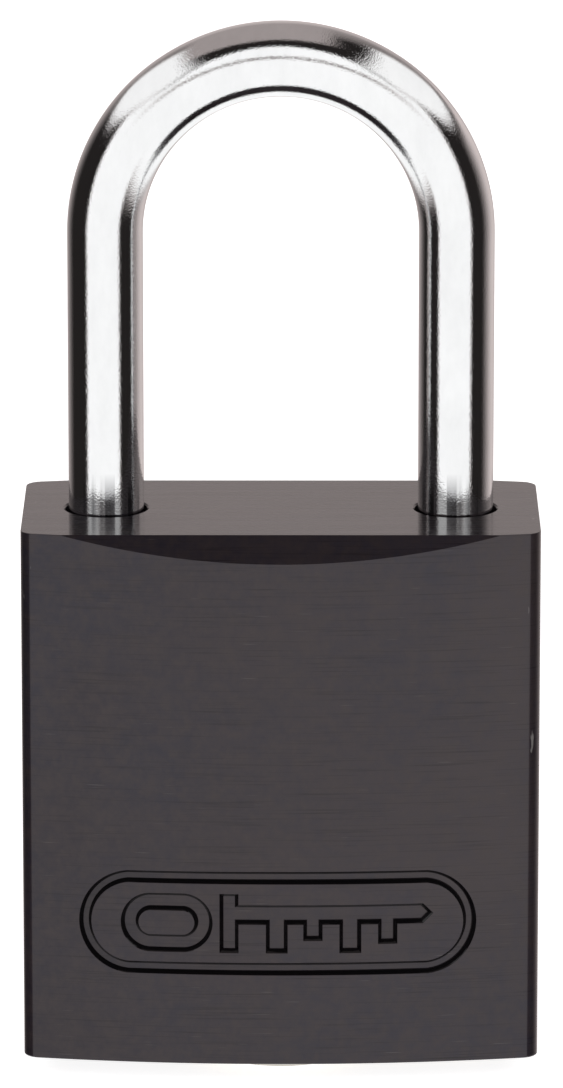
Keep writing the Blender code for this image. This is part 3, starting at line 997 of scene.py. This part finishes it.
def anodised_finish():
    """Dark anodised aluminium: a clear oxide skin over lines brushed along the body's width, with
    painted shade on the relief's walls.
    """
    finish = Finish("dark_anodised_aluminium")
    parts = finish.node("ShaderNodeSeparateXYZ")
    finish.join(finish.node("ShaderNodeNewGeometry").outputs["Normal"], parts.inputs["Vector"])
    level = finish.span(finish.maths("ABSOLUTE", parts.outputs["Z"]), 0.7, 0.8)
    spot = finish.node("ShaderNodeSeparateXYZ")
    finish.join(finish.place, spot.inputs["Vector"])

    def brushed(along, across, detail):
        upright = finish.noise((along, 0, across), detail, 0.6)
        lying = finish.noise((along, across, 0), detail, 0.6)
        return finish.mix(level, upright, lying)

    fine = brushed(110, 7000, 3)
    broad = brushed(25, 1600, 2)
    scratch = finish.span(brushed(260, 9000, 1), 0.72, 0.78)
    mottle = finish.noise((900, 900, 900), 4, 0.7)
    stain = finish.noise((75, 75, 75), 3, 0.6)
    across = finish.span(spot.outputs["X"], -HALF_WIDTH, HALF_WIDTH, 0, 1)
    tone = finish.blend(across, (0.024, 0.019, 0.025, 1), (0.042, 0.033, 0.037, 1))
    tone = finish.blend(finish.span(stain, 0.38, 0.62, 0, 0.65), tone, (0.023, 0.021, 0.032, 1))
    tone = finish.blend(finish.span(mottle, 0.35, 0.65, 0, 0.6), tone, (0.044, 0.033, 0.032, 1))
    tone = finish.blend(finish.span(fine, 0.55, 0.75, 0, 0.65), tone, (0.008, 0.006, 0.007, 1))
    tone = finish.blend(finish.maths("MULTIPLY", scratch, 0.4), tone, (0.13, 0.12, 0.115, 1))
    from_middle = finish.maths("ABSOLUTE", spot.outputs["X"])
    chips = finish.span(finish.noise((1500, 1500, 500), 2, 0.5), 0.69, 0.73)
    rim_start = finish.span(from_middle, HALF_WIDTH - 1.0 * MM, HALF_WIDTH - 0.8 * MM)
    rim_end = finish.span(from_middle, HALF_WIDTH - 0.1 * MM, HALF_WIDTH - 0.3 * MM)
    worn = finish.product(finish.product(chips, finish.product(rim_start, rim_end)), 0.6)
    tone = finish.blend(worn, tone, (0.36, 0.34, 0.33, 1))
    # Painted shade: the relief's walls are coloured near black where the groove would lie in shadow.
    tone = finish.blend(relief_wall_shade_mask(finish, spot), tone, (0.006, 0.005, 0.006, 1))
    satin = finish.span(fine, 0.2, 0.8, 0.28, 0.40)
    rough = finish.maths("ADD", satin, finish.span(broad, 0.3, 0.7, 0, 0.08))
    under = finish.bump(fine, 0.006 * MM, 0.7)
    under = finish.bump(mottle, 0.003 * MM, 0.5, under)
    skin = finish.bump(broad, 0.006 * MM, 0.35)
    skin = finish.bump(mottle, 0.0012 * MM, 0.6, skin)
    finish.set(Base_Color=tone, Roughness=rough, Metallic=0.6, Normal=under, Specular_IOR_Level=0.0)
    finish.set(Coat_Weight=1.0, Coat_IOR=1.4, Coat_Roughness=0.07, Coat_Normal=skin)
    return finish.material


def chrome_finish():
    """Bright chrome plate: fine pitting, faint drawing lines that follow the bent bar, and a painted
    dark reflection on the legs just above the body.
    """
    finish = Finish("bright_chrome_plate")
    spot = finish.node("ShaderNodeSeparateXYZ")
    finish.join(finish.place, spot.inputs["Vector"])
    side = finish.maths("ABSOLUTE", spot.outputs["X"])
    rise = finish.maths("MAXIMUM", finish.maths("SUBTRACT", spot.outputs["Z"], ARCH_Z), 0)
    turned = finish.maths("MULTIPLY", finish.maths("ARCTAN2", rise, side), LEG_X)
    along = finish.maths("ADD", finish.maths("MINIMUM", spot.outputs["Z"], ARCH_Z), turned)
    squares = finish.maths("ADD", finish.product(side, side), finish.product(rise, rise))
    out = finish.maths("SQRT", squares)
    path = finish.node("ShaderNodeCombineXYZ")
    for socket, value in zip(path.inputs, (out, spot.outputs["Y"], along)):
        finish.feed(socket, value)
    drawn_lines = finish.noise((5000, 5000, 70), 2, 0.5, source=path.outputs["Vector"])
    broad_lines = finish.noise((1300, 1300, 30), 1, 0.5, source=path.outputs["Vector"])
    pits = finish.noise((7000, 7000, 7000), 2, 0.6)
    wave = finish.noise((250, 250, 120), 2, 0.5)
    haze = finish.noise((500, 500, 220), 4, 0.6)
    normal = finish.bump(pits, 0.010 * MM, 1.0)
    normal = finish.bump(drawn_lines, 0.003 * MM, 0.35, normal)
    normal = finish.bump(broad_lines, 0.006 * MM, 0.35, normal)
    normal = finish.bump(wave, 0.03 * MM, 0.35, normal)
    # Painted reflection: streaky dark colour on the legs just above the body, standing in for the dark
    # body mirrored in the chrome.
    reflection_streaks = finish.noise((1500, 1500, 12), 2, 0.5, source=path.outputs["Vector"])
    near_body = finish.span(along, BODY_TOP + 1.0 * MM, BODY_TOP + 3.4 * MM, 1, 0)
    painted_leg_reflection = finish.maths("MULTIPLY", finish.span(reflection_streaks, 0.48, 0.58), near_body)
    tone = finish.blend(finish.span(haze, 0.3, 0.7), (0.90, 0.905, 0.91, 1), (0.84, 0.845, 0.85, 1))
    tone = finish.blend(finish.maths("MULTIPLY", painted_leg_reflection, 0.85), tone, (0.10, 0.10, 0.11, 1))
    rough = finish.span(haze, 0.3, 0.7, 0.02, 0.045)
    finish.set(Base_Color=tone, Roughness=rough, Metallic=1.0, Normal=normal)
    return finish.material


def worked_metal(name, colour, dark, roughness, grain):
    """A machined metal: a tone that wanders between two colours, with a fine grain."""
    finish = Finish(name)
    cloud = finish.noise((260, 260, 260), 3, 0.6)
    line = finish.noise((900, 900, 900), 2, 0.5)
    tone = finish.blend(finish.span(cloud, 0.3, 0.7), (*colour, 1), (*dark, 1))
    rough = finish.span(line, 0.3, 0.7, roughness, roughness + 0.12)
    finish.set(Base_Color=tone, Roughness=rough, Metallic=1.0, Normal=finish.bump(line, grain))
    return finish.material


# --------------------------------------------------------------------- studio


def studio_world():
    """A front window with a rail over it, wings, a grey ceiling, dark sides and a white backdrop."""
    world = bpy.data.worlds.new("studio")
    bpy.context.scene.world = world
    world.use_nodes = True
    tree = world.node_tree
    tree.nodes.clear()

    def node(kind, **settings):
        made = tree.nodes.new(kind)
        for setting, value in settings.items():
            setattr(made, setting, value)
        return made

    def maths(operation, one, other=0.0):
        made = node("ShaderNodeMath", operation=operation)
        for socket, value in zip(made.inputs, (one, other)):
            if isinstance(value, bpy.types.NodeSocket):
                tree.links.new(value, socket)
            else:
                socket.default_value = value
        return made.outputs["Value"]

    def edge(value, start, end, low=0.0, high=1.0, shape="SMOOTHSTEP"):
        made = node("ShaderNodeMapRange", interpolation_type=shape)
        tree.links.new(value, made.inputs["Value"])
        ends = {"From Min": start, "From Max": end, "To Min": low, "To Max": high}
        for socket, number in ends.items():
            made.inputs[socket].default_value = number
        return made.outputs["Result"]

    def angled(value, start, end):
        return edge(value, radians(start), radians(end))

    def product(*values):
        result = values[0]
        for value in values[1:]:
            result = maths("MULTIPLY", result, value)
        return result

    def brightest(*values):
        result = values[0]
        for value in values[1:]:
            result = maths("MAXIMUM", result, value)
        return result

    direction = node("ShaderNodeSeparateXYZ")
    tree.links.new(node("ShaderNodeTexCoord").outputs["Generated"], direction.inputs["Vector"])
    x, y, z = direction.outputs
    turn = maths("ARCTAN2", x, maths("MULTIPLY", y, -1))
    aside = maths("ABSOLUTE", turn)
    rise = maths("ARCSINE", z)
    height = brightest(z, 0.02)
    sideways = maths("DIVIDE", x, height)
    forward = maths("DIVIDE", maths("MULTIPLY", y, -1), height)
    spread = maths("ABSOLUTE", sideways)
    bow = product(spread, spread, 0.75)
    rail = maths("ADD", maths("ADD", 0.64, maths("MULTIPLY", spread, 0.5)), bow)
    rail_width = edge(spread, 0, 0.45, 0.24, 0.09, "LINEAR")
    before_rail = maths("SUBTRACT", forward, rail)
    off_rail = maths("SUBTRACT", maths("ABSOLUTE", before_rail), rail_width)
    clear_of_rail = brightest(edge(off_rail, -0.03, 0.03), angled(rise, 24, 20))
    past_rail = brightest(edge(before_rail, -0.02, 0.02), angled(rise, 26, 22))
    seam = product(angled(rise, 9, 13), angled(rise, 19, 15))
    seam = product(seam, angled(aside, 34, 10), 0.8)
    window = product(angled(turn, -61, -53), angled(turn, 49, 40), past_rail)
    window = product(maths("SUBTRACT", window, seam), clear_of_rail)
    wing = brightest(edge(sideways, -0.62, -0.70), edge(sideways, 0.58, 0.66))
    wing = product(wing, angled(rise, 22, 27), angled(aside, 150, 125), clear_of_rail)
    ceiling = product(edge(sideways, -0.70, -0.62), edge(sideways, 0.36, 0.28))
    ceiling = product(ceiling, edge(forward, 0.42, 0.34), edge(z, 0.1, 0.3))
    table = angled(rise, -20, -34)
    back = product(angled(aside, 105, 185), 0.60)
    back = product(back, maths("SUBTRACT", 1, product(angled(rise, 18, 42), 0.36)))
    right = product(angled(turn, 78, 140), angled(turn, 178, 150), 0.66)
    right = product(right, angled(rise, 24, 14))
    white = brightest(window, product(wing, 0.96), table)
    light = brightest(product(white, 1.06), back, right, product(ceiling, 0.37), 0.018)
    warmth = node("ShaderNodeMix", data_type="RGBA")
    tree.links.new(white, warmth.inputs["Factor"])
    warmth.inputs["A"].default_value = (1.0, 0.88, 0.86, 1)
    warmth.inputs["B"].default_value = (1.0, 1.0, 1.0, 1)
    glow = node("ShaderNodeBackground")
    tree.links.new(warmth.outputs["Result"], glow.inputs["Color"])
    tree.links.new(light, glow.inputs["Strength"])
    backdrop = node("ShaderNodeBackground")
    backdrop.inputs["Color"].default_value = (1, 1, 1, 1)
    choice = node("ShaderNodeMixShader")
    tree.links.new(node("ShaderNodeLightPath").outputs["Is Camera Ray"], choice.inputs["Fac"])
    tree.links.new(glow.outputs["Background"], choice.inputs[1])
    tree.links.new(backdrop.outputs["Background"], choice.inputs[2])
    tree.links.new(choice.outputs["Shader"], node("ShaderNodeOutputWorld").inputs["Surface"])


def studio_floor():
    """A wide pale floor that the bar and body don't mirror."""
    deselect()
    bpy.ops.mesh.primitive_plane_add(size=4, location=(0, 0, cad_low.z - 0.02 * MM))
    floor = added("floor")
    finish = Finish("pale_floor")
    finish.set(Base_Color=(0.9, 0.9, 0.9, 1), Roughness=0.9)
    finish.set(Emission_Color=(1, 1, 1, 1), Emission_Strength=0.85)
    floor.data.materials.append(finish.material)
    floor.visible_glossy = False


def studio_camera():
    """A long lens, a little above the padlock and square to its front."""
    pitch, yaw, distance = radians(14.219), radians(0.095), 649.26 * MM
    target = Vector((0.046 * MM, 0, 40.666 * MM))
    away = Vector((sin(yaw) * cos(pitch), -cos(yaw) * cos(pitch), sin(pitch)))
    deselect()
    bpy.ops.object.camera_add(location=target + away * distance, rotation=(pi / 2 - pitch, 0, yaw))
    camera = bpy.context.object
    camera.data.sensor_width = 36
    camera.data.lens = 276.4
    camera.data.clip_start = 0.01
    camera.data.clip_end = 20
    bpy.context.scene.camera = camera


# ---------------------------------------------------------------------- build


def coat(data, finish):
    """Gives a mesh one finish and no other."""
    data.materials.clear()
    data.materials.append(finish)


def keep(piece, body, slot, finish, *nodes):
    """Gives a piece its finish, hangs it on the body it rides on and hides the CAD nodes it stands for.
    """
    coat(piece.data, finish)
    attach(piece, body)
    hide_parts(*nodes)


def spring_between(coil, finish, node):
    """Gives a spring its finish, hides the CAD node it stands for and puts its place in its mesh."""
    coat(coil.data, finish)
    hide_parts(node)
    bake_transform(coil)


def main():
    """Makes the finishes, every piece and the studio."""
    anodised = anodised_finish()
    chrome = chrome_finish()
    brass = worked_metal("machined_brass", (0.72, 0.52, 0.24), (0.62, 0.44, 0.19), 0.24, 0.004 * MM)
    nickel = worked_metal("satin_nickel", (0.66, 0.62, 0.56), (0.56, 0.53, 0.48), 0.22, 0.004 * MM)
    polished = worked_metal("polished_steel", (0.60, 0.60, 0.62), (0.50, 0.50, 0.52), 0.12, 0.001 * MM)
    spring = worked_metal("drawn_spring_wire", (0.42, 0.42, 0.44), (0.30, 0.30, 0.32), 0.3, 0.003 * MM)
    zinc = worked_metal("zinc_plate", (0.58, 0.58, 0.57), (0.46, 0.47, 0.48), 0.32, 0.004 * MM)
    keep(lock_body(), "case", "anodised_aluminium", anodised, "padlock_body")
    keep(shackle(), "shackle_bar", "chrome_plate", chrome, "shackle")
    keep(plug(), "plug_rotor", "nickel_plate", nickel, "plug")
    keep(cylinder_shell(), "case", "brass", brass, "cylinder_shell")
    keep(chamber_cover(), "case", "brass", brass, "chamber_cover")
    keep(cylinder_screw(), "case", "zinc_plated_steel", zinc, "cylinder_screw")
    keep(hardened_ball("toe_ball"), "toe_ball_body", "hardened_steel", polished, "toe_ball")
    keep(hardened_ball("heel_ball"), "heel_ball_body", "hardened_steel", polished, "heel_ball")
    for number in range(1, PIN_COUNT + 1):
        keep(key_pin(number), f"key_pin_body_{number}", "brass", brass, f"key_pin_{number}")
        body, node = f"driver_pin_body_{number}", f"driver_pin_{number}"
        keep(driver_pin(number), body, "hardened_steel", polished, node)
        node = f"pin_spring_{number}"
        spring_between(pin_spring(number), spring, node)
    spring_between(shackle_spring(), spring, "shackle_spring")
    coat(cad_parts["locking_cam"].data, zinc)
    coat(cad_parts["plug_clip"].data, spring)
    studio_world()
    studio_floor()
    studio_camera()
    bpy.context.scene.view_settings.view_transform = "Standard"


main()
